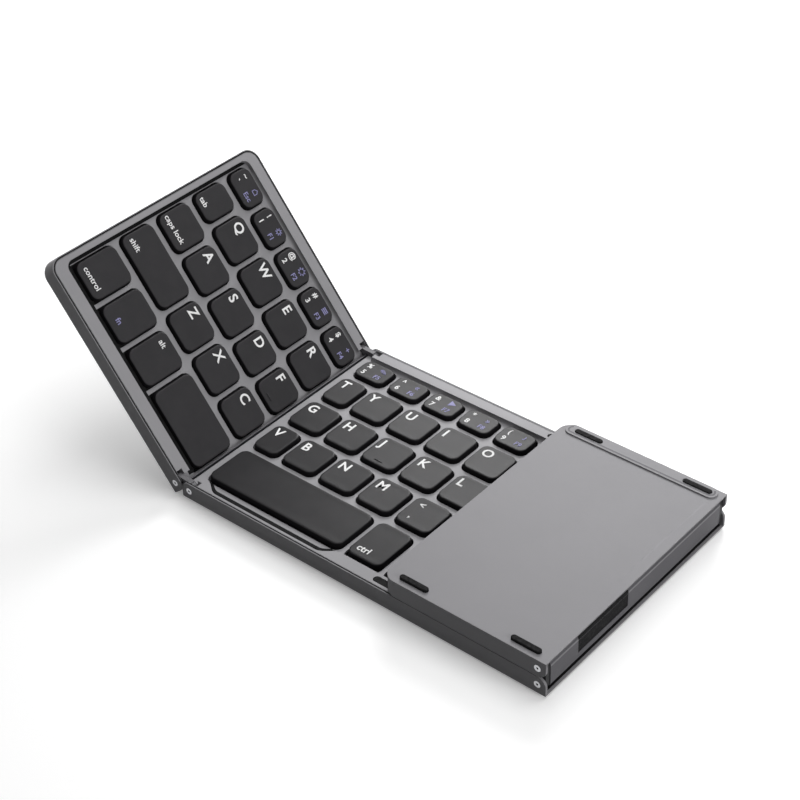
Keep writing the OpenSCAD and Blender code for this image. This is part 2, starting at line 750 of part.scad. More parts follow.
module spine_cover() {
    window_w = window_h / 2;
    color(anodised) {
        difference() {
            along(cover_y, depth - cover_y) intersection() {
                difference() {
                    stadium(spine_r);
                    stadium(spine_r - spine_t);
                }
                translate([-2 * spine_r, -2 * spine_r])
                    square([pin_pitch + 4 * spine_r, 2 * spine_r - spine_edge]);
            }
            slab(pin_pitch / 2 - window_w, window_start, -2 * spine_r, pin_pitch / 2 + window_w,
                window_start + window_len, 0);
        }
        // The fin between the two decks, with the cable's way under it
        difference() {
            along(cover_y, depth - cover_y) translate([(pin_pitch - fin_w) / 2, -cable_room - eps])
                square([fin_w, cable_room + eps + fin_h]);
            slab(0, cable_start, -spine_r, pin_pitch, cable_end, cable_way);
        }
    }
}

module cable_cover() {
    color(black) slab((pin_pitch - window_h) / 2, window_start, -cable_room - cable_cover_t,
        (pin_pitch + window_h) / 2, window_start + window_len, -cable_room);
}

module left_hinge_links() { on_left_link() hinge_links(); }
module left_hinge_pins() { on_left_link() hinge_pins(); }
module left_spine_cover() { on_left_link() spine_cover(); }
module left_cable_cover() { on_left_link() cable_cover(); }
module right_hinge_links() { on_right_link() hinge_links(); }
module right_hinge_pins() { on_right_link() hinge_pins(); }
module right_spine_cover() { on_right_link() spine_cover(); }
module right_cable_cover() { on_right_link() cable_cover(); }

centre_bottom_shell();
centre_key_deck();
centre_support_plate();
centre_switch_sheet();
centre_rubber_feet();
fold_bumpers();
left_bottom_shell();
left_key_deck();
left_support_plate();
left_switch_sheet();
left_rubber_feet();
left_magnets();
right_bottom_shell();
touchpad_frame();
touchpad_surface();
touchpad_board();
main_circuit_board();
battery_cell();
charging_socket();
right_rubber_feet();
right_magnets();
left_hinge_links();
left_hinge_pins();
left_spine_cover();
left_cable_cover();
right_hinge_links();
right_hinge_pins();
right_spine_cover();
right_cable_cover();
for (letter = LETTERS) keys_named(str("key_", letter));
keys_named("left_space_key");  // left_space_key
keys_named("right_space_key");  // right_space_key
keys_named("left_number_keys");  // left_number_keys
keys_named("left_modifier_keys");  // left_modifier_keys
keys_named("centre_number_keys");  // centre_number_keys
keys_named("centre_side_keys");  // centre_side_keys
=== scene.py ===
"""Looks of the tri-fold pocket keyboard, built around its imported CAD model.

Blender works in metres. Lengths here are in millimetres and are brought into metres by the matrices of
the panels' flat frames: x runs from the hinge axis, y from the front edge and z up from the underside.
"""
import json
import math

import bmesh
import bpy
from mathutils import Matrix, Vector

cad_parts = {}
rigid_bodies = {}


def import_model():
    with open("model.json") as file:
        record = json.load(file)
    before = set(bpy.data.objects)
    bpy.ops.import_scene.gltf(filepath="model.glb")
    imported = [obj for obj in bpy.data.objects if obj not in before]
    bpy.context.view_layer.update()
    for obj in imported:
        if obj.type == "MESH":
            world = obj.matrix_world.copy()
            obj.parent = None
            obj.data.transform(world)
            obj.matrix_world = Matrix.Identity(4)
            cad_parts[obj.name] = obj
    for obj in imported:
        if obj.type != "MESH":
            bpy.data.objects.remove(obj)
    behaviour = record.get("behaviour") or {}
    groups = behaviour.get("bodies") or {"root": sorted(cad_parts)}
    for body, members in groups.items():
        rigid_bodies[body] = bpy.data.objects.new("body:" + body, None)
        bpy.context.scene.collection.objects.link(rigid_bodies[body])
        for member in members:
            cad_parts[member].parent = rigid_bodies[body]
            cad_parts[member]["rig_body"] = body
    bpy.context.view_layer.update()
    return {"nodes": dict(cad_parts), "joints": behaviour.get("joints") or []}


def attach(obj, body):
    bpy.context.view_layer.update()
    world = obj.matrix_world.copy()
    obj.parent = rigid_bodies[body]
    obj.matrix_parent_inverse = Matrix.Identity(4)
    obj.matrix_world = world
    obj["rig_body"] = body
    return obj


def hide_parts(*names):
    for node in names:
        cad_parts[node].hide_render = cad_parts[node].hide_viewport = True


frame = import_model()

MM = 0.001
nodes = frame["nodes"]

# Sizes of the CAD model, in millimetres
DEPTH = 98.0
PANEL_TOP = 6.5
PIN_Z = 3.35
PIN_SPAN = 145.4
PIN_PITCH = 6.6
LEFT_LEN = 84.8
RIGHT_LEN = 60.2
WEB_TOP = 4.6


# ---- the panels' flat frames, from the joints ----

def joint(name):
    return next(j for j in frame["joints"] if j["name"] == name)


def rest_turn(name):
    """The turn about Y that a hinge has made at rest, from flat."""
    hinge = joint(name)
    return math.radians(-hinge["range_deg"][0] * hinge["axis"][1])


def flat_frame(place, turn):
    """Matrix from a panel's flat frame, in millimetres, to the row frame."""
    return (Matrix.Translation(place) @ Matrix.Rotation(turn, 4, "Y")
            @ Matrix.Scale(MM, 4) @ Matrix.Translation((0, -DEPTH / 2, -PIN_Z)))


def hinge_frame(side):
    """The frame of an end panel, whose turn is that of its link and its own."""
    turn = rest_turn(f"{side}_link_hinge") + rest_turn(f"{side}_panel_hinge")
    return flat_frame(joint(f"{side}_panel_hinge")["pos_m"], turn)


def link_frame(side):
    """The frame of a hinge's links and spine, whose inner pin is at x = 0."""
    return flat_frame(joint(f"{side}_link_hinge")["pos_m"], rest_turn(f"{side}_link_hinge"))


CENTRE = flat_frame(joint("left_link_hinge")["pos_m"], 0)
LEFT = hinge_frame("left")
RIGHT = hinge_frame("right")
PANELS = {"centre": CENTRE, "left": LEFT, "right": RIGHT}
# Each hinge's link frame, and the way along x from its inner pin to its outer pin
LINKS = {"left": (link_frame("left"), -1), "right": (link_frame("right"), 1)}


# ---- materials ----

# The part of a noise's range that a tint or a roughness is spread over
NOISE_ENDS = (0.35, 0.65)
# How far the roughness of a surface strays to each side, and that of a scratched one
ROUGH_SPREAD = 0.03
SCRATCH_SPREAD = 0.08
INK_SHADE = 0.92


def set_inputs(node, **values):
    """Sets a node's own inputs, each named with _ for a space."""
    for key, value in values.items():
        node.inputs[key.replace("_", " ")].default_value = value


def add_node(tree, kind, **inputs):
    """A new node, each of whose inputs takes a value or another node's output."""
    made = tree.nodes.new(kind)
    for key, value in inputs.items():
        if isinstance(value, bpy.types.NodeSocket):
            tree.links.new(value, made.inputs[key.replace("_", " ")])
        else:
            set_inputs(made, **{key: value})
    return made


def combine(tree, operation, *sources):
    """The result of a Math node over other nodes' outputs."""
    made = tree.nodes.new("ShaderNodeMath")
    made.operation = operation
    for source, target in zip(sources, made.inputs):
        tree.links.new(source, target)
    return made.outputs["Value"]


class Paint:
    """A procedural material: a Principled shader, and chains of noise that feed it."""

    def __init__(self, name, **values):
        self.material = bpy.data.materials.new(name)
        self.material.use_nodes = True
        self.tree = self.material.node_tree
        self.shader = self.tree.nodes["Principled BSDF"]
        set_inputs(self.shader, **values)
        self.where = self.node("ShaderNodeTexCoord").outputs["Object"]

    def node(self, kind, **inputs):
        return add_node(self.tree, kind, **inputs)

    def noise(self, grain_mm, detail, stretch=(1, 1, 1)):
        """Noise whose grain is about that size, longer along an axis where stretch is below 1."""
        mapped = self.node("ShaderNodeMapping", Vector=self.where, Scale=stretch)
        return self.node("ShaderNodeTexNoise", Vector=mapped.outputs["Vector"],
                         Scale=1 / (grain_mm * MM), Detail=detail).outputs["Fac"]

    def ramp(self, source, low, high):
        """source spread over the range from low to high."""
        spread = self.node("ShaderNodeMapRange", Value=source, From_Min=NOISE_ENDS[0], From_Max=NOISE_ENDS[1],
                           To_Min=low, To_Max=high)
        return spread.outputs["Result"]

    def tint(self, source, dark, light):
        """The base colour, between two tints."""
        mixed = self.tree.nodes.new("ShaderNodeMix")
        mixed.data_type = "RGBA"
        self.tree.links.new(self.ramp(source, 0, 1), mixed.inputs["Factor"])
        set_inputs(mixed, A=(*dark, 1), B=(*light, 1))
        colour = next(output for output in mixed.outputs if output.type == "RGBA")
        self.tree.links.new(colour, self.shader.inputs["Base Color"])

    def rough(self, source, low, high):
        self.tree.links.new(self.ramp(source, low, high), self.shader.inputs["Roughness"])

    def bump(self, source, height_mm):
        """Relief of that height."""
        relief = self.node("ShaderNodeBump", Height=source, Strength=1.0, Distance=height_mm * MM)
        self.tree.links.new(relief.outputs["Normal"], self.shader.inputs["Normal"])


def srgb(text):
    """A colour written as six hexadecimal digits, as linear red, green and blue."""
    def linear(value):
        return value / 12.92 if value <= 0.04045 else ((value + 0.055) / 1.055) ** 2.4
    return tuple(linear(int(text[i:i + 2], 16) / 255) for i in (0, 2, 4))


def blasted_metal(name, dark, light, roughness):
    """Anodised metal with a fine blasted grain and a slow change of tone."""
    paint = Paint(name, Metallic=0.05, Specular_IOR_Level=0.2)
    paint.tint(paint.noise(25, 3), srgb(dark), srgb(light))
    paint.rough(paint.noise(0.5, 3), roughness - ROUGH_SPREAD, roughness + ROUGH_SPREAD)
    paint.bump(paint.noise(0.22, 3), 0.008)
    return paint.material


def deck_paint():
    """Matt metallic paint on the key decks."""
    paint = Paint("deck_paint", Metallic=0.05, Specular_IOR_Level=0.25)
    paint.tint(paint.noise(30, 3), srgb("929194"), srgb("979699"))
    paint.rough(paint.noise(0.5, 3), 0.47, 0.53)
    paint.bump(paint.noise(0.3, 3), 0.008)
    return paint.material


def key_plastic(name, dark, light, roughness, specular):
    """Moulded keycap plastic with a fine spark-eroded grain."""
    paint = Paint(name, Specular_IOR_Level=specular)
    paint.tint(paint.noise(8, 3), srgb(dark), srgb(light))
    paint.rough(paint.noise(0.4, 3), roughness - ROUGH_SPREAD, roughness + ROUGH_SPREAD)
    paint.bump(paint.noise(0.25, 2), 0.006)
    return paint.material


def ink(name, colour):
    """Printing ink of slightly uneven cover."""
    paint = Paint(name, Roughness=0.6)
    paint.tint(paint.noise(0.5, 3), tuple(INK_SHADE * value for value in srgb(colour)), srgb(colour))
    return paint.material


def rubber():
    """Matt black rubber with a coarse bloom."""
    paint = Paint("rubber", Specular_IOR_Level=0.12)
    paint.tint(paint.noise(1.5, 4), srgb("0b0b0c"), srgb("151516"))
    paint.rough(paint.noise(1, 4), 0.65, 0.85)
    paint.bump(paint.noise(0.15, 4), 0.02)
    return paint.material


def steel(name, dark, light, roughness, brushed=(1, 1, 1)):
    """Bare metal, with scratches along an axis where brushed is below 1."""
    paint = Paint(name, Metallic=1.0)
    lines = paint.noise(0.3, 4, brushed)
    paint.tint(lines, srgb(dark), srgb(light))
    paint.rough(lines, roughness - SCRATCH_SPREAD, roughness + SCRATCH_SPREAD)
    paint.bump(lines, 0.006)
    return paint.material


def circuit_lacquer():
    """Solder lacquer over copper tracks, which show as a fine raised pattern."""
    paint = Paint("circuit_lacquer", Specular_IOR_Level=0.6)
    cells = paint.node("ShaderNodeTexVoronoi", Vector=paint.where, Scale=1 / (2.2 * MM))
    cells.distance = "CHEBYCHEV"
    paint.tint(cells.outputs["Distance"], srgb("123a22"), srgb("1d5a33"))
    paint.rough(paint.noise(2, 3), 0.28, 0.4)
    paint.bump(cells.outputs["Distance"], 0.03)
    return paint.material


def soft_sheet():
    """The soft sheet of domes under the keys, dark where it shows between them."""
    paint = Paint("silicone", Subsurface_Weight=0.15, Subsurface_Scale=0.001)
    paint.tint(paint.noise(4, 3), srgb("151516"), srgb("1c1c1e"))
    paint.rough(paint.noise(2, 3), 0.5, 0.65)
    paint.bump(paint.noise(0.4, 3), 0.01)
    return paint.material


def touch_glass():
    """The touch surface's fine-etched glass."""
    paint = Paint("touch_glass", Coat_Weight=0.3, Coat_Roughness=0.3)
    paint.tint(paint.noise(12, 3), srgb("28282a"), srgb("2d2d30"))
    paint.rough(paint.noise(3, 3), 0.32, 0.42)
    paint.bump(paint.noise(0.12, 2), 0.004)
    return paint.material


def woven_sleeve():
    """The cloth tape over the hinge's cable: two crossing waves."""
    paint = Paint("cable_sleeve", Specular_IOR_Level=0.1)
    waves = []
    for direction in ("Y", "Z"):
        wave = paint.node("ShaderNodeTexWave", Vector=paint.where, Scale=1 / (1.2 * MM))
        wave.bands_direction = direction
        waves.append(wave.outputs["Fac"])
    weave = combine(paint.tree, "MULTIPLY", *waves)
    paint.tint(weave, srgb("0c0c0d"), srgb("19191b"))
    paint.rough(paint.noise(1, 3), 0.6, 0.8)
    paint.bump(weave, 0.05)
    return paint.material


METAL = blasted_metal("anodised_metal", "828184", "848386", 0.5)
SPINE = blasted_metal("spine_metal", "504f53", "58575b", 0.45)
DECK = deck_paint()
# The left and centre keys are one plastic in two copies: the left copy's base colour is painted lighter,
# painted light for the left panel's weaker lighting, and the centre copy's darker, painted shade against its
# sheen
KEY_LEFT = key_plastic("key_plastic_left", "2c2b2d", "302f31", 0.5, 0.15)
KEY_CENTRE = key_plastic("key_plastic_centre", "201f21", "242325", 0.33, 0.13)
# A darker copy of the key plastic for the caps' steep sides: painted shade, since the sides turn away from
# the lamps
KEY_SIDE_SHADE = key_plastic("key_plastic_side", "0e0d0f", "131214", 0.65, 0.08)
WHITE_INK = ink("white_ink", "f4f4f4")
VIOLET_INK = ink("violet_ink", "8d8bb8")
RUBBER = rubber()
# Near-black metal that paints shade, on the right hinge's links and on the centre shell's ledge
PAINTED_SHADE_METAL = blasted_metal("hinge_dark", "19191b", "222224", 0.5)
PIN_STEEL = steel("pin_steel", "b4b5b8", "dcdde0", 0.3)
HINGE_STEEL = blasted_metal("hinge_metal", "626164", "6f6e71", 0.45)
SHEET_STEEL = steel("sheet_steel", "a9abae", "c4c6c8", 0.32, (0.08, 1, 1))
MAGNET = steel("nickel", "8d8e90", "c2c3c5", 0.2)
FOIL = steel("battery_foil", "b5b6b8", "cfd0d2", 0.38)
LACQUER = circuit_lacquer()
SILICONE = soft_sheet()
GLASS = touch_glass()
SLEEVE = woven_sleeve()

# The material of each of the record's slots, and of the nodes that differ from their slot
SLOT_PAINTS = {
    "shell_metal": METAL, "deck_plastic": DECK, "keycap_left": KEY_LEFT, "keycap_centre": KEY_CENTRE,
    "rubber": RUBBER, "bare_sheet": SHEET_STEEL, "silicone_sheet": SILICONE, "magnet": MAGNET,
    "circuit_board": LACQUER, "battery_foil": FOIL, "socket_steel": SHEET_STEEL, "touch_glass": GLASS,
    "hinge_steel": HINGE_STEEL, "spine_paint": SPINE, "cable_sleeve": SLEEVE,
}
# The right hinge's links take the near-black metal: painted shade of the gap between the spine's end and its
# cheek
NODE_PAINTS = {"left_hinge_pins": PIN_STEEL, "right_hinge_pins": PIN_STEEL, "right_hinge_links": PAINTED_SHADE_METAL}


def slot_of(node):
    """The record's material slot of a node, which its glTF material is named after."""
    return nodes[node].data.materials[0].name.split(".")[0]


def body_of(node):
    return nodes[node]["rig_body"]


SLOTS = {node: slot_of(node) for node in nodes}
for node, thing in nodes.items():
    thing.material_slots[0].material = NODE_PAINTS.get(node, SLOT_PAINTS[SLOTS[node]])


# ---- meshes ----

# Corners closer than this, in metres, are one
WELD = 2e-6
# Faces that meet within this angle are one flat face
FLAT = math.radians(0.5)
# Edges above SHARP are broken or rounded, and shading is smooth across those below SMOOTH
SHARP = math.radians(32)
SMOOTH = math.radians(40)


def whole_faces(node):
    """A node's mesh with its doubled corners joined and its flat faces in one piece."""
    bm = bmesh.new()
    bm.from_mesh(nodes[node].data)
    bmesh.ops.remove_doubles(bm, verts=bm.verts, dist=WELD)
    bmesh.ops.dissolve_limit(bm, angle_limit=FLAT, verts=bm.verts, edges=bm.edges)
    bm.normal_update()
    return bm


def sharp_edges(bm):
    """The edges that stand out and are sharper than SHARP."""
    return [edge for edge in bm.edges
            if len(edge.link_faces) == 2 and edge.calc_face_angle_signed() > SHARP]


def round_off(bm, edges, width_mm, segments):
    bmesh.ops.bevel(bm, geom=edges, offset=width_mm * MM, offset_type="OFFSET", segments=segments,
                    profile=0.5, affect="EDGES", clamp_overlap=True)


def finish_mesh(name, bm, paints):
    """An object of a bmesh, shaded smooth within its sharp edges."""
    bmesh.ops.recalc_face_normals(bm, faces=bm.faces)
    mesh = bpy.data.meshes.new(name)
    bm.to_mesh(mesh)
    bm.free()
    for paint in paints:
        mesh.materials.append(paint)
    mesh.polygons.foreach_set("use_smooth", [True] * len(mesh.polygons))
    mesh.set_sharp_from_angle(angle=SMOOTH)
    thing = bpy.data.objects.new(name, mesh)
    bpy.context.scene.collection.objects.link(thing)
    return thing


def even_normals(thing):
    """Lets the large faces set the shading, so that rounded edges don't dent them."""
    weighted = thing.modifiers.new("even_normals", "WEIGHTED_NORMAL")
    weighted.keep_sharp = True


def stand_for(thing, node):
    """thing takes a node's place, on its body."""
    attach(thing, body_of(node))
    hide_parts(node)


def soften(node, width_mm, segments=2):
    """Breaks the sharp edges of a CAD node, as its making would."""
    thing = nodes[node]
    weld = thing.modifiers.new("weld", "WELD")
    weld.merge_threshold = WELD
    flat = thing.modifiers.new("whole_faces", "DECIMATE")
    flat.decimate_type = "DISSOLVE"
    flat.angle_limit = FLAT
    bevel = thing.modifiers.new("broken_edges", "BEVEL")
    bevel.width = width_mm * MM
    bevel.segments = segments
    bevel.limit_method = "ANGLE"
    bevel.angle_limit = SHARP
    even_normals(thing)


# ---- keycaps ----

# A cap's foot stands out by KEY_FLARE from its top, whose corners have radius KEY_CORNER_R
KEY_FLARE = 0.5
KEY_CORNER_R = 2.6
# The smallest corner radius where the top dishes in
MIN_CORNER_R = 0.4
KEY_TOP_Z = 6.25
CORNER_STEPS = 7
# A keycap's outside, from its foot to the floor of its dished top: inset from the foot, and height
CAP_PROFILE = [
    (0.0, 4.0), (0.17, 5.1), (0.28, 5.8), (0.33, 6.0), (0.41, 6.13), (0.53, 6.21), (0.7, 6.245),
    (0.9, KEY_TOP_Z), (1.5, 6.24), (2.4, 6.22), (3.2, 6.21),
]
# Its inside, from the foot inwards
SKIRT = [(0.7, 4.0), (0.85, 5.1)]
PLUNGER_R = 2.0
PLUNGER_Z = 3.67
# A face counts as turned away from a direction where that part of its normal is below this
STEEP = 0.35
# The caps of the left panel's front row stand clear of its front rim
FRONT_ROW_Y = 10
FRONT_GAP = 0.6


def outline(box, inset, z):
    """A rounded rectangle, inset from a box (x0, y0, x1, y1), as a list of points."""
    radius = max(KEY_CORNER_R + KEY_FLARE - inset, MIN_CORNER_R)
    x0, y0, x1, y1 = box[0] + inset, box[1] + inset, box[2] - inset, box[3] - inset
    corners = [(x1 - radius, y0 + radius, -90), (x1 - radius, y1 - radius, 0),
               (x0 + radius, y1 - radius, 90), (x0 + radius, y0 + radius, 180)]
    points = []
    for cx, cy, start in corners:
        for step in range(CORNER_STEPS + 1):
            angle = math.radians(start + 90 * step / CORNER_STEPS)
            points.append(Vector((cx + radius * math.cos(angle), cy + radius * math.sin(angle), z)))
    return points


def round_ring(like, centre, radius, z):
    """A circle with as many points as another ring, each in the same direction from the centre."""
    ring = []
    for point in like:
        way = Vector((point.x - centre.x, point.y - centre.y, 0)).normalized() * radius
        ring.append(Vector((centre.x + way.x, centre.y + way.y, z)))
    return ring


def skin(bm, rings):
    """Faces from ring to ring, closed at both ends."""
    made = [[bm.verts.new(point) for point in ring] for ring in rings]
    for below, above in zip(made, made[1:]):
        for k in range(len(below)):
            following = (k + 1) % len(below)
            bm.faces.new((below[k], below[following], above[following], above[k]))
    bm.faces.new(reversed(made[0]))
    bm.faces.new(made[-1])


def keycap(bm, box):
    """One keycap: skirt, dished top, and the plunger under it."""
    centre = Vector(((box[0] + box[2]) / 2, (box[1] + box[3]) / 2, 0))
    inner = [outline(box, inset, z) for inset, z in SKIRT]
    stem = [round_ring(inner[-1], centre, PLUNGER_R, z) for z in (PLUNGER_Z, SKIRT[-1][1])]
    skin(bm, stem + inner[::-1] + [outline(box, inset, z) for inset, z in CAP_PROFILE])


# The raised bar on two keys, which a finger finds them by: size, place, and inset with rise over the top
HOMING_KEYS = ("key_f", "key_j")
HOMING_L = 3.2
HOMING_W = 0.6
HOMING_INSET = 1.8
HOMING_PROFILE = [(0, -0.1), (0, 0.08), (0.08, 0.16), (0.2, 0.2)]
PILL_STEPS = 8


def pill_ring(x, y, length, width, z):
    """The outline of a bar with round ends, along x."""
    half, radius = (length - width) / 2, width / 2
    points = []
    for end, start in ((half, -90), (-half, 90)):
        for step in range(PILL_STEPS + 1):
            angle = math.radians(start + 180 * step / PILL_STEPS)
            points.append((x + end + radius * math.cos(angle), y + radius * math.sin(angle), z))
    return points


def homing_bar(bm, box):
    x = (box[0] + box[2]) / 2
    y = box[1] + KEY_FLARE + HOMING_INSET
    skin(bm, [pill_ring(x, y, HOMING_L - 2 * inset, HOMING_W - 2 * inset, KEY_TOP_Z + rise)
              for inset, rise in HOMING_PROFILE])


def solids_of(node, place):
    """The plan boxes (x0, y0, x1, y1) of a node's solids in a panel's flat frame, row by row."""
    bm = bmesh.new()
    bm.from_mesh(nodes[node].data)
    bmesh.ops.remove_doubles(bm, verts=bm.verts, dist=WELD)
    bm.transform(place.inverted())
    left, boxes = set(bm.verts), []
    while left:
        island, border = set(), [left.pop()]
        while border:
            vertex = border.pop()
            island.add(vertex)
            for edge in vertex.link_edges:
                other = edge.other_vert(vertex)
                if other in left:
                    left.discard(other)
                    border.append(other)
        xs, ys = [v.co.x for v in island], [v.co.y for v in island]
        boxes.append((min(xs), min(ys), max(xs), max(ys)))
    bm.free()
    return sorted(boxes, key=lambda box: (round(box[1]), box[0]))


# ---- legends ----

# How far legends stand out, the share of a font's size that its capitals fill, and the outlines' fineness
LEGEND_RISE = 0.045
CAPITAL_SHARE = 0.7
LEGEND_STEPS = 4
# Sizes of legends, and how far their strokes are widened, as a share of the size
LETTER_H = 3.8
LETTER_BOLD = 0.03
WORD_H = 2.1
WORD_BOLD = 0.02
NUMBER_H = 2.2
SIGN_H = 2.3
SIGN_BOLD = 0.01
LABEL_H = 2.0
LABEL_BOLD = 0.015
SIDE_WORD_H = 2.6
SIDE_PAIR_H = 2.6
# Places of legends, from the left and front edges of their key, or from the edges that the code names
LETTER_INSET = 2.0
LETTER_Y = 3.0
NUMBER_X = 3.3
NUMBER_Y = 3.1
LABEL_X = 4.3
WORD_PLACE = (1.9, 3.0)
WORD_PLACES = {"control": (2.5, 4.2), "fn": (5.7, 4.6), "alt": (2.8, 14.7), "shift": (2.0, 4.2),
               "caps lock": (1.2, 3.9)}
ERASE_PLACE = (1.9, 4.5)
SIDE_WORD_PLACE = (2.4, 4.0)
SIDE_PAIR_X = 4.2
SIDE_PAIR_HIGH = 4.0
SIDE_PAIR_LOW = 4.6


def lettering(text, height_mm, x, y, place, align="LEFT", bold=LETTER_BOLD):
    """Letters of that capital height on a key's top, as a thin closed mesh in the row frame."""
    curve = bpy.data.curves.new("letters", "FONT")
    curve.body = text
    curve.size = height_mm / CAPITAL_SHARE
    curve.offset = bold * height_mm
    curve.extrude = LEGEND_RISE
    curve.align_x = align
    curve.align_y = "CENTER"
    curve.resolution_u = LEGEND_STEPS
    thing = bpy.data.objects.new("letters", curve)
    bpy.context.scene.collection.objects.link(thing)
    bpy.context.view_layer.update()
    mesh = bpy.data.meshes.new_from_object(thing.evaluated_get(bpy.context.evaluated_depsgraph_get()))
    bpy.data.objects.remove(thing)
    bpy.data.curves.remove(curve)
    mesh.transform(place @ Matrix.Translation((x, y, KEY_TOP_Z)))
    return mesh


class Legends:
    """The legends of one key node: a mesh for each ink."""

    def __init__(self, node, place):
        self.node, self.place = node, place
        self.parts = {WHITE_INK: [], VIOLET_INK: []}

    def add(self, text, height, x, y, paint=WHITE_INK, **more):
        self.parts[paint].append(lettering(text, height, x, y, self.place, **more))

    def letter(self, box, text):
        """A letter left of the middle of its key and towards the back."""
        self.add(text, LETTER_H, box[0] + LETTER_INSET, (box[1] + box[3]) / 2 + LETTER_Y)

    def word(self, box, text, place=WORD_PLACE, paint=WHITE_INK):
        self.add(text, WORD_H, box[0] + place[0], box[1] + place[1], paint, bold=WORD_BOLD)

    def number(self, box, upper, lower, sign, label):
        """The four legends of a number key, its second function in violet."""
        x, right = box[0] + NUMBER_X, box[2] - LABEL_X
        high, low = box[3] - NUMBER_Y, box[1] + NUMBER_Y
        self.add(upper, NUMBER_H, x, high, align="CENTER")
        self.add(lower, NUMBER_H, x, low, align="CENTER")
        self.add(sign, SIGN_H, right, high, VIOLET_INK, align="CENTER", bold=SIGN_BOLD)
        self.add(label, LABEL_H, right, low, VIOLET_INK, align="CENTER", bold=LABEL_BOLD)

    def pair(self, box, upper, lower):
        x = box[0] + SIDE_PAIR_X
        self.add(upper, SIDE_PAIR_H, x, box[3] - SIDE_PAIR_HIGH, align="CENTER")
        self.add(lower, SIDE_PAIR_H, x, box[1] + SIDE_PAIR_LOW, align="CENTER")

    def finish(self):
        for paint, meshes in self.parts.items():
            if meshes:
                bm = bmesh.new()
                for mesh in meshes:
                    bm.from_mesh(mesh)
                    bpy.data.meshes.remove(mesh)
                thing = finish_mesh(f"{self.node}_{paint.name}", bm, [paint])
                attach(thing, body_of(self.node))


# What the number keys say: shifted sign, sign, second function's sign, second function's label
NUMBERS = {
    "left_number_keys": [
        ("~", "`", "⌂", "Esc"), ("!", "1", "☼", "F1"), ("@", "2", "☀", "F2"), ("#", "3", "☰", "F3"),
        ("$", "4", "+", "F4"),
    ],
    "centre_number_keys": [
        ("%", "5", "✎", "F5"), ("^", "6", "«", "F6"), ("&", "7", "▶", "F7"), ("*", "8", "»", "F8"),
        ("(", "9", "♪", "F9"), (")", "0", "−", "F10"), ("_", "-", "+", "F11"), ("+", "=", "■", "F12"),
    ],
}
ERASE_SIGN = "⌫"
MODIFIERS = ["control", "fn", "alt", "shift", "caps lock", "tab"]
# The keys at the right of the centre panel, by their number in centre_side_keys; the one not named is P
SIDE_WORDS = {0: "ctrl", 1: "alt", 2: "←", 3: "↓", 4: "→", 8: "↑", 9: "del", 12: "enter"}
SIDE_PAIRS = {5: ("<", ","), 6: (">", "."), 7: ("?", "/"), 10: (":", ";"), 11: ('"', "'"),
              14: ("{", "["), 15: ("}", "]"), 16: ("|", "\\")}


def label_keys(node, place, boxes):
    """Prints what the keys of a node say."""
    legends = Legends(node, place)
    if node in NUMBERS:
        for box, texts in zip(boxes, NUMBERS[node]):
            legends.number(box, *texts)
        if node == "centre_number_keys":
            legends.word(boxes[-1], ERASE_SIGN, ERASE_PLACE)
    elif node == "left_modifier_keys":
        for box, word in zip(boxes, MODIFIERS):
            spot = WORD_PLACES.get(word, WORD_PLACE)
            legends.word(box, word, spot, VIOLET_INK if word == "fn" else WHITE_INK)
    elif node == "centre_side_keys":
        for number, box in enumerate(boxes):
            if number in SIDE_WORDS:
                x, y = box[0] + SIDE_WORD_PLACE[0], box[1] + SIDE_WORD_PLACE[1]
                legends.add(SIDE_WORDS[number], SIDE_WORD_H, x, y)
            elif number in SIDE_PAIRS:
                legends.pair(box, *SIDE_PAIRS[number])
            else:
                legends.letter(box, "P")
    elif node.startswith("key_"):
        legends.letter(boxes[0], node[-1].upper())
    legends.finish()


def key_node(node):
    """Replaces a node of keys with finished caps, and labels them."""
    place = LEFT if SLOTS[node] == "keycap_left" else CENTRE
    boxes = solids_of(node, place)
    bm = bmesh.new()
    for box in boxes:
        front = box[1] + (FRONT_GAP if box[1] < FRONT_ROW_Y and place is LEFT else 0)
        keycap(bm, (box[0], front, box[2], box[3]))
        if node in HOMING_KEYS:
            homing_bar(bm, box)
    bm.normal_update()
    # Steep faces take the darker side copy of the plastic: painted shade on the caps' sides
    for face in bm.faces:
        face.material_index = 1 if abs(face.normal.z) < STEEP else 0
    bm.transform(place)
    paints = [SLOT_PAINTS[SLOTS[node]], KEY_SIDE_SHADE]
    thing = finish_mesh(f"{node}_cap" if len(boxes) == 1 else f"{node}_caps", bm, paints)
    stand_for(thing, node)
    label_keys(node, place, boxes)


for node in [name for name in nodes if SLOTS[name].startswith("keycap")]:
    key_node(node)


# ---- shells and decks ----

# Radii of the edges round an underside and round its ridge, and widths of broken edges
RIM_ROUND = 0.5
RIDGE_ROUND = 0.35
EDGE_BREAK = 0.12
FINE_BREAK = 0.1
RUBBER_ROUND = 0.25
# The ridge's top in a panel's flat frame, and how near an edge lies to a level that it is on
RIDGE_TOP = -0.5
LEVEL_GAP = 0.02
# Below the right spine cover the centre shell ends in a ledge, which is painted dark as shade
LEDGE_X = 148.0
LEDGE_Z = 0.6


def on_ledge(face, to_panel):
    middle = to_panel @ face.calc_center_median()
    return middle.x > LEDGE_X and middle.z < LEDGE_Z and abs(face.normal.y) < STEEP


def shell(node, place):
    """A bottom shell with its underside's edges and its ridge rounded, and the centre one's ledge painted
    dark as shade.
    """
    bm = whole_faces(node)
    to_panel = place.inverted()
    for level, width_mm, segments in ((0, RIM_ROUND, 3), (RIDGE_TOP, RIDGE_ROUND, 2)):
        edges = [edge for edge in sharp_edges(bm)
                 if all(abs((to_panel @ vertex.co).z - level) < LEVEL_GAP for vertex in edge.verts)]
        round_off(bm, edges, width_mm, segments)
    bm.normal_update()
    # The ledge's faces take the near-black metal: painted shade
    if node == "centre_bottom_shell":
        for face in bm.faces:
            face.material_index = int(on_ledge(face, to_panel))
    thing = finish_mesh(f"{node}_finish", bm, [METAL, PAINTED_SHADE_METAL])
    even_normals(thing)
    stand_for(thing, node)


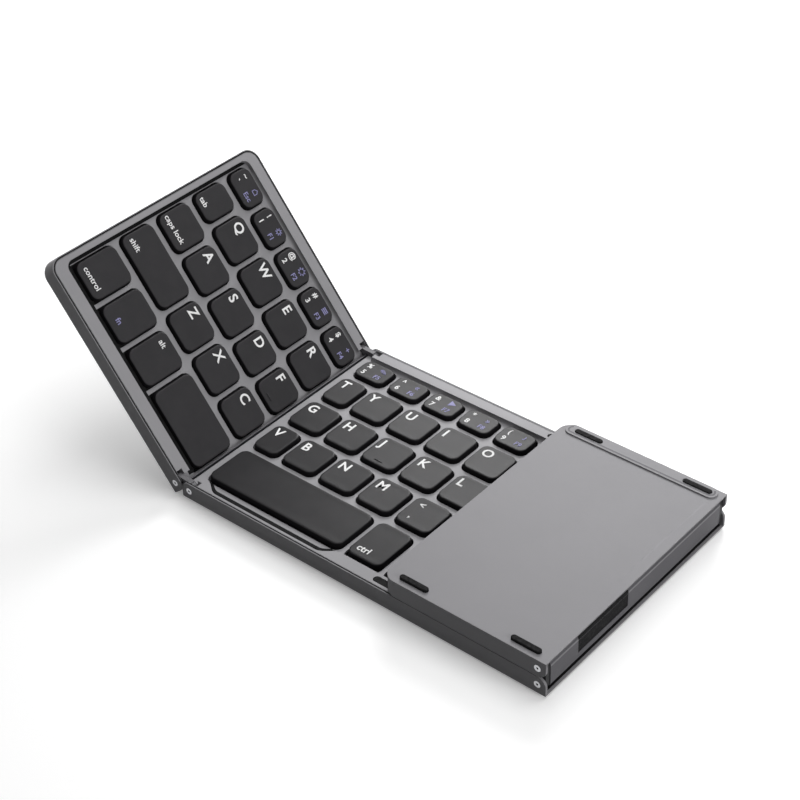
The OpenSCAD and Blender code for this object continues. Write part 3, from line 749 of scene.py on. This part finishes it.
for side, place in PANELS.items():
    shell(f"{side}_bottom_shell", place)
for node in ("centre_key_deck", "left_key_deck", "touchpad_frame"):
    soften(node, EDGE_BREAK)
for node in ("left_spine_cover", "right_spine_cover", "left_hinge_links", "right_hinge_links",
             "touchpad_surface", "charging_socket", "battery_cell"):
    soften(node, FINE_BREAK)
for node in nodes:
    if SLOTS[node] == "rubber":
        soften(node, RUBBER_ROUND, 3)


# ---- trims ----

def trim(name, node, place, bars, paint):
    """A piece of closed bars that rides with a node. Each bar is a list of rings of points (x, y, z)."""
    bm = bmesh.new()
    for sections in bars:
        skin(bm, sections)
    bm.transform(place)
    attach(finish_mesh(name, bm, [paint]), body_of(node))


def flat_strip(one_side, other_side, z0, z1):
    """Sections of a strip between two paths of points (x, y)."""
    return [[(*a, z0), (*b, z0), (*b, z1), (*a, z1)] for a, b in zip(one_side, other_side)]


# The parting line of a panel's skin shows as a dark line along the rim
PANEL_CORNER_R = 5.0
SEAM_INSETS = (0.32, 0.8)
SEAM_END = 1.0
SEAM_RISE = 0.012


def straight_edge(inset):
    return [(-SEAM_END, inset), (PIN_SPAN + SEAM_END, inset)]


def round_edge(inset):
    """A path along the free edges of the left panel."""
    radius = PANEL_CORNER_R - inset
    path = [(SEAM_END, inset)]
    for y, start in ((PANEL_CORNER_R, 270), (DEPTH - PANEL_CORNER_R, 180)):
        for step in range(CORNER_STEPS + 1):
            angle = math.radians(start - 90 * step / CORNER_STEPS)
            path.append((PANEL_CORNER_R - LEFT_LEN + radius * math.cos(angle), y + radius * math.sin(angle)))
    return path + [(SEAM_END, DEPTH - inset)]


def seam(path):
    return flat_strip(path(SEAM_INSETS[0]), path(SEAM_INSETS[1]), PANEL_TOP, PANEL_TOP + SEAM_RISE)


def far_seam():
    return [[(x, DEPTH - y, z) for x, y, z in ring] for ring in seam(straight_edge)]


trim("centre_seam", "centre_bottom_shell", CENTRE, [seam(straight_edge)], RUBBER)
trim("centre_far_seam", "centre_bottom_shell", CENTRE, [far_seam()], SPINE)
trim("left_seam", "left_bottom_shell", LEFT, [seam(round_edge)], RUBBER)

# A fine dark line in spine paint runs along the top of each underside's ridge and round its ends: painted
# shade of the ridge's sloping front
RIDGE_Y = 95.0
RIDGE_END_R = 2.6
RIDGE_SHADE_R = (1.2, 1.9)
RIDGE_TURN = 150
RIDGE_STEPS = 14
# How far a ridge reaches past its hinge's pin, and how far it ends from a panel's free end
RIDGE_REACH = 1.15
RIDGE_GAP = 2.0
RIDGES = {
    "centre": (-RIDGE_REACH, PIN_SPAN + RIDGE_REACH),
    "left": (RIDGE_GAP - LEFT_LEN, RIDGE_REACH),
    "right": (-RIDGE_REACH, RIGHT_LEN - RIDGE_GAP),
}


def ridge_path(ends, radius):
    """A path along the front and round both ends of a ridge."""
    path = []
    for x, start in ((ends[0] + RIDGE_END_R, 270 - RIDGE_TURN), (ends[1] - RIDGE_END_R, 270)):
        for step in range(RIDGE_STEPS + 1):
            angle = math.radians(start + RIDGE_TURN * step / RIDGE_STEPS)
            path.append((x + radius * math.cos(angle), RIDGE_Y + radius * math.sin(angle)))
    return path


for side, place in PANELS.items():
    inner, outer = [ridge_path(RIDGES[side], radius) for radius in RIDGE_SHADE_R]
    trim(f"{side}_ridge_line", f"{side}_bottom_shell", place,
         [flat_strip(inner, outer, RIDGE_TOP - SEAM_RISE, RIDGE_TOP)], SPINE)

# A strip of black rubber along the thumb recess is painted shade behind the recess's front lip; its ends
# follow the recess's curves
RECESS_X = (3.2, 63.6)
RECESS_Y = (5.7, 1.8)
RECESS_CURVE = 7.8
RECESS_STEPS = 10
SHADE_SHIFT = (-1.6, 3.0)
SHADE_END_Y = 2.5
SHADE_BACK = 6.55
SHADE_T = 0.05


def recess_shade():
    edge, inner = [], []
    for end, way in zip(RECESS_X, (1, -1)):
        for step in range(RECESS_STEPS + 1)[::way]:
            share = step / RECESS_STEPS
            y = RECESS_Y[0] - (RECESS_Y[0] - RECESS_Y[1]) * (1 - math.cos(math.pi * share)) / 2
            x = end + way * RECESS_CURVE * share
            reach = SHADE_END_Y + (SHADE_SHIFT[1] - SHADE_END_Y) * share
            edge.append((x, y))
            inner.append((x + SHADE_SHIFT[0], min(y + reach, SHADE_BACK)))
    return flat_strip(edge, inner, WEB_TOP, WEB_TOP + SHADE_T)


trim("thumb_recess_shade", "centre_key_deck", CENTRE, [recess_shade()], RUBBER)

# The web of a key deck runs up to the back rim in a small hollow curve
COVE_Y = (92.1, 93.0)
COVE_TOP = 6.35
COVE_STEPS = 5
COVE_END = 1.0
LEFT_COVE_START = 8.0


def cove(x0, x1):
    profile = [(COVE_Y[1], WEB_TOP - SHADE_T), (COVE_Y[0], WEB_TOP - SHADE_T)]
    for step in range(COVE_STEPS + 1):
        angle = math.pi / 2 * step / COVE_STEPS
        profile.append((COVE_Y[0] + (COVE_Y[1] - COVE_Y[0]) * math.sin(angle),
                        WEB_TOP + (COVE_TOP - WEB_TOP) * (1 - math.cos(angle))))
    return [[(x, y, z) for y, z in profile] for x in (x0, x1)]


trim("centre_deck_cove", "centre_key_deck", CENTRE, [cove(COVE_END, PIN_SPAN - COVE_END)], DECK)
trim("left_deck_cove", "left_key_deck", LEFT, [cove(LEFT_COVE_START - LEFT_LEN, -COVE_END)], DECK)

# A spine cover's wall turns round its outer pin, and a strip of bright shell metal along the turn is a
# painted highlight, which the cable's window cuts through
SPINE_R = 2.65
TURN_STEPS = 6
HIGHLIGHT_TURN = (-92, -77)
HIGHLIGHT_R = (SPINE_R - 0.1, SPINE_R + 0.02)
HIGHLIGHT_SPANS = ((3.2, 16.9), (43.1, 94.8))
WINDOW_SPAN = (16.95, 43.05)
WINDOW_TURN = (-90, -12)
WINDOW_R = (SPINE_R - 0.2, SPINE_R + 0.03)
SILL_X = (-0.25, 1.35)
SILL_Z = (SPINE_R - 1.95, 1.3)


def around_pin(turns, radii, span, way):
    """A curved bar round the outer pin of a link, between two radii and two angles."""
    angles = [math.radians(turns[0] + (turns[1] - turns[0]) * k / TURN_STEPS) for k in range(TURN_STEPS + 1)]
    ring = [(radii[1], a) for a in angles] + [(radii[0], a) for a in reversed(angles)]
    return [[(way * (PIN_PITCH + r * math.cos(a)), y, PIN_Z + r * math.sin(a)) for r, a in ring]
            for y in span]


def block(x0, x1, y0, y1, z0, z1):
    return [[(x0, y, z0), (x1, y, z0), (x1, y, z1), (x0, y, z1)] for y in (y0, y1)]


for side, (link, way) in LINKS.items():
    cover = f"{side}_spine_cover"
    edges = [around_pin(HIGHLIGHT_TURN, HIGHLIGHT_R, span, way) for span in HIGHLIGHT_SPANS]
    window = around_pin(WINDOW_TURN, WINDOW_R, WINDOW_SPAN, way)
    sill = block(way * SILL_X[0], way * SILL_X[1], *WINDOW_SPAN, *SILL_Z)
    trim(f"{side}_spine_edge", cover, link, edges, METAL)
    trim(f"{side}_window_top", cover, link, [window], RUBBER)
    trim(f"{side}_window_sill", cover, link, [sill], SPINE)

# The pins' end faces are drilled, and each hole is drawn as a flat black disc: painted shade of its depth
PIN_ENDS = ((0.06, 0.1), (DEPTH - 0.1, DEPTH - 0.06))
DIMPLE_R = 0.38
DIMPLE_STEPS = 16


def hole_shade(x, span):
    angles = [math.tau * step / DIMPLE_STEPS for step in range(DIMPLE_STEPS)]
    return [[(x + DIMPLE_R * math.cos(a), y, PIN_Z + DIMPLE_R * math.sin(a)) for a in angles] for y in span]


for side, (link, way) in LINKS.items():
    hole_shades = [hole_shade(x, span) for x in (0, way * PIN_PITCH) for span in PIN_ENDS]
    trim(f"{side}_pin_dimples", f"{side}_hinge_pins", link, hole_shades, RUBBER)

# Blocks of black rubber are painted shade in the gap below the right spine cover, and beside and in front of
# the left keys
# Each is a block, from its ends in x, y and z
SPINE_GAP_SHADE = (PIN_SPAN + 0.6, PIN_SPAN + 2.3, 1.0, 97.0, -0.35, 0.62)
SHADE_SINK = 0.1
SHADE_Z = (WEB_TOP - SHADE_SINK, WEB_TOP + SHADE_T)
LEFT_SIDE_SHADE = (3.02 - LEFT_LEN, 4.25 - LEFT_LEN, 7.0, 92.4, *SHADE_Z)
LEFT_FRONT_SHADE = (3.6 - LEFT_LEN, 0.4, 5.72, 8.05, *SHADE_Z)
trim("centre_spine_seal", "centre_bottom_shell", CENTRE, [block(*SPINE_GAP_SHADE)], RUBBER)
trim("left_side_seal", "left_key_deck", LEFT, [block(*LEFT_SIDE_SHADE)], RUBBER)
trim("left_front_seal", "left_key_deck", LEFT, [block(*LEFT_FRONT_SHADE)], RUBBER)


# ---- floor, light and camera ----

WHITE = (1, 1, 1, 1)
FLOOR_SIZE = 6
# The floor's grey as the camera sees it, and as the light that it throws back meets it
FLOOR_WHITE = 1.0
FLOOR_BOUNCE = 0.06
# Its glow grows from FLOOR_BOOST to full between these distances from the middle, in metres
FLOOR_BOOST = 0.25
FLOOR_NEAR = 0.25
FLOOR_FAR = 0.7
AMBIENT = 0.11


def seen_rays(tree, unseen, seen):
    """A value for what the camera, reflections and clear materials see, and another for all other light."""
    rays = tree.nodes.new("ShaderNodeLightPath")
    either = rays.outputs["Is Camera Ray"]
    for name in ("Is Glossy Ray", "Is Transmission Ray"):
        either = combine(tree, "MAXIMUM", either, rays.outputs[name])
    return add_node(tree, "ShaderNodeMapRange", Value=either, To_Min=unseen, To_Max=seen).outputs["Result"]


def floor():
    """White paper that shows the object's shadow, throws little light back at it, and is white far away."""
    bpy.ops.mesh.primitive_plane_add(size=FLOOR_SIZE)
    plane = bpy.context.object
    plane.name = "floor"
    material = bpy.data.materials.new("floor_paper")
    material.use_nodes = True
    plane.data.materials.append(material)
    tree = material.node_tree
    shader = tree.nodes["Principled BSDF"]
    set_inputs(shader, Roughness=0.9, Specular_IOR_Level=0.1, Emission_Color=WHITE)
    tree.links.new(seen_rays(tree, FLOOR_BOUNCE, FLOOR_WHITE), shader.inputs["Base Color"])
    where = tree.nodes.new("ShaderNodeTexCoord")
    away = tree.nodes.new("ShaderNodeVectorMath")
    away.operation = "LENGTH"
    tree.links.new(where.outputs["Object"], away.inputs[0])
    spread = add_node(tree, "ShaderNodeMapRange", Value=away.outputs["Value"], From_Min=FLOOR_NEAR,
                      From_Max=FLOOR_FAR, To_Min=FLOOR_BOOST, To_Max=1)
    glow = combine(tree, "MULTIPLY", spread.outputs["Result"], seen_rays(tree, 0, 1))
    tree.links.new(glow, shader.inputs["Emission Strength"])


def world():
    """White to the camera and to reflections, and a dimmer grey as light."""
    made = bpy.data.worlds.new("studio")
    bpy.context.scene.world = made
    made.use_nodes = True
    tree = made.node_tree
    background = tree.nodes["Background"]
    set_inputs(background, Color=WHITE)
    tree.links.new(seen_rays(tree, AMBIENT, 1), background.inputs["Strength"])


# Each softbox: its place, what it points at and its size, in millimetres, and its power in watts
SOFTBOXES = {
    "key_light": ((60, 260, 800), (0, 0, 0), (600, 600), 3.3),
    "side_light": ((580, -40, 190), (-100, 0, 40), (300, 200), 1.5),
    "back_light": ((-190, 440, 330), (20, 40, 0), (320, 220), 2.3),
}


def aim(place, target):
    """The turn that points a lamp or a camera at a target."""
    return (target - place).to_track_quat("-Z", "Y")


def softbox(name, place_mm, target_mm, size_mm, power):
    lamp = bpy.data.lights.new(name, "AREA")
    lamp.shape = "RECTANGLE"
    lamp.size, lamp.size_y = (side * MM for side in size_mm)
    lamp.energy = power
    thing = bpy.data.objects.new(name, lamp)
    bpy.context.scene.collection.objects.link(thing)
    place, target = Vector(place_mm) * MM, Vector(target_mm) * MM
    thing.location = place
    thing.rotation_euler = aim(place, target).to_euler()


# The photograph's view, as fitted to points matched in it
CAMERA_PLACE = (333.36, -367.37, 405.06)
CAMERA_TARGET = (-16.00, 28.76, 8.90)
CAMERA_ROLL = -2.35
CAMERA_LENS = 84.52
SENSOR_WIDTH = 36
CLIP_START = 0.01


def camera():
    data = bpy.data.cameras.new("camera")
    data.lens = CAMERA_LENS
    data.sensor_width = SENSOR_WIDTH
    data.clip_start = CLIP_START
    thing = bpy.data.objects.new("camera", data)
    bpy.context.scene.collection.objects.link(thing)
    place, target = Vector(CAMERA_PLACE) * MM, Vector(CAMERA_TARGET) * MM
    roll = Matrix.Rotation(math.radians(CAMERA_ROLL), 4, "Z")
    thing.matrix_world = Matrix.Translation(place) @ aim(place, target).to_matrix().to_4x4() @ roll
    bpy.context.scene.camera = thing


floor()
world()
for name, values in SOFTBOXES.items():
    softbox(name, *values)
camera()
bpy.context.scene.view_settings.view_transform = "Standard"
